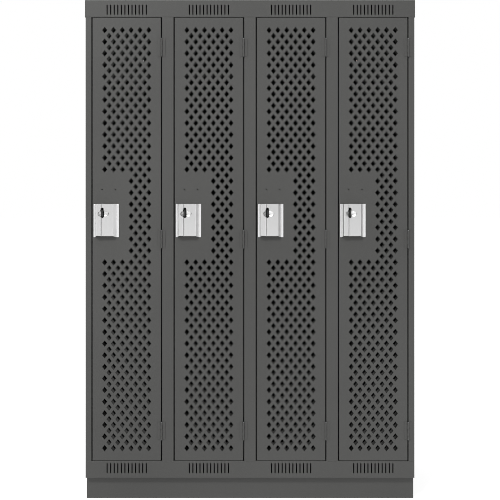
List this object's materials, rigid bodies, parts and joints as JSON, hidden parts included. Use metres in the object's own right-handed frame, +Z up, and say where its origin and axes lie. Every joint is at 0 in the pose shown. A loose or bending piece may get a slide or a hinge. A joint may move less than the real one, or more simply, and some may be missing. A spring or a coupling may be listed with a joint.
{
  "type": "locker cabinet",
  "caption": "Bank of tall single-tier steel lockers with diamond-perforated double-skin doors, bright pressed handles with lift latches, hat shelves and a recessed plinth.",
  "frame": {"origin": "centre of the bounding box's footprint, on the floor", "axes": "+Z up, the doors face -Y, +X to the right of a person who faces the doors"},
  "size_m": [1.2242, 0.4792, 1.8545],
  "materials": {
    "body_paint": "satin dark grey powder coat",
    "handle_metal": "satin",
    "zinc_steel": "zinc plated, satin",
    "dark_steel": "satin black",
    "bumper_rubber": "matt"
  },
  "bodies": {
    "cabinet": {"header_rail": "body_paint", "sill_rail": "body_paint", "left_stile": "body_paint", "right_stile": "body_paint", "left_side_panel": "body_paint", "right_side_panel": "body_paint", "top_panel": "body_paint", "back_panel": "body_paint", "floor_panel": "body_paint", "plinth_rails": "body_paint", "plinth_ends": "body_paint", "hinge_frame_leaves": "body_paint", "latch_strikes": "body_paint", "mullion_1": "body_paint", "mullion_2": "body_paint", "mullion_3": "body_paint", "partition_1": "body_paint", "partition_2": "body_paint", "partition_3": "body_paint", "shelf_1": "body_paint", "shelf_2": "body_paint", "shelf_3": "body_paint", "shelf_4": "body_paint", "shelf_rivets": "zinc_steel", "ceiling_hooks": "zinc_steel", "hinge_pins": "zinc_steel", "door_bumpers": "bumper_rubber"},
    "door_1": {"door_1_outer": "body_paint", "door_1_inner": "body_paint", "door_1_hinge_leaves": "body_paint", "door_1_handle": "handle_metal", "door_1_rivets": "zinc_steel", "door_1_bar_guides": "zinc_steel"},
    "door_2": {"door_2_outer": "body_paint", "door_2_inner": "body_paint", "door_2_hinge_leaves": "body_paint", "door_2_handle": "handle_metal", "door_2_rivets": "zinc_steel", "door_2_bar_guides": "zinc_steel"},
    "door_3": {"door_3_outer": "body_paint", "door_3_inner": "body_paint", "door_3_hinge_leaves": "body_paint", "door_3_handle": "handle_metal", "door_3_rivets": "zinc_steel", "door_3_bar_guides": "zinc_steel"},
    "door_4": {"door_4_outer": "body_paint", "door_4_inner": "body_paint", "door_4_hinge_leaves": "body_paint", "door_4_handle": "handle_metal", "door_4_rivets": "zinc_steel", "door_4_bar_guides": "zinc_steel"},
    "latch_1": {"door_1_lock_bar": "zinc_steel", "door_1_trigger": "dark_steel"},
    "latch_2": {"door_2_lock_bar": "zinc_steel", "door_2_trigger": "dark_steel"},
    "latch_3": {"door_3_lock_bar": "zinc_steel", "door_3_trigger": "dark_steel"},
    "latch_4": {"door_4_lock_bar": "zinc_steel", "door_4_trigger": "dark_steel"}
  },
  "joints": [
    {"name": "door_1_hinge", "type": "hinge", "parent": "cabinet", "child": "door_1", "pos_m": [-0.3283, -0.221, 0.9685], "axis": [0, 0, 1], "range_deg": [0, 110]},
    {"name": "door_2_hinge", "type": "hinge", "parent": "cabinet", "child": "door_2", "pos_m": [-0.0235, -0.221, 0.9685], "axis": [0, 0, 1], "range_deg": [0, 110]},
    {"name": "door_3_hinge", "type": "hinge", "parent": "cabinet", "child": "door_3", "pos_m": [0.2813, -0.221, 0.9685], "axis": [0, 0, 1], "range_deg": [0, 110]},
    {"name": "door_4_hinge", "type": "hinge", "parent": "cabinet", "child": "door_4", "pos_m": [0.5861, -0.221, 0.9685], "axis": [0, 0, 1], "range_deg": [0, 110]},
    {"name": "latch_1_lift", "type": "slide", "parent": "door_1", "child": "latch_1", "axis": [0, 0, 1], "range_m": [-0.004, 0.007]},
    {"name": "latch_2_lift", "type": "slide", "parent": "door_2", "child": "latch_2", "axis": [0, 0, 1], "range_m": [-0.004, 0.007]},
    {"name": "latch_3_lift", "type": "slide", "parent": "door_3", "child": "latch_3", "axis": [0, 0, 1], "range_m": [-0.004, 0.007]},
    {"name": "latch_4_lift", "type": "slide", "parent": "door_4", "child": "latch_4", "axis": [0, 0, 1], "range_m": [-0.004, 0.007]}
  ]
}
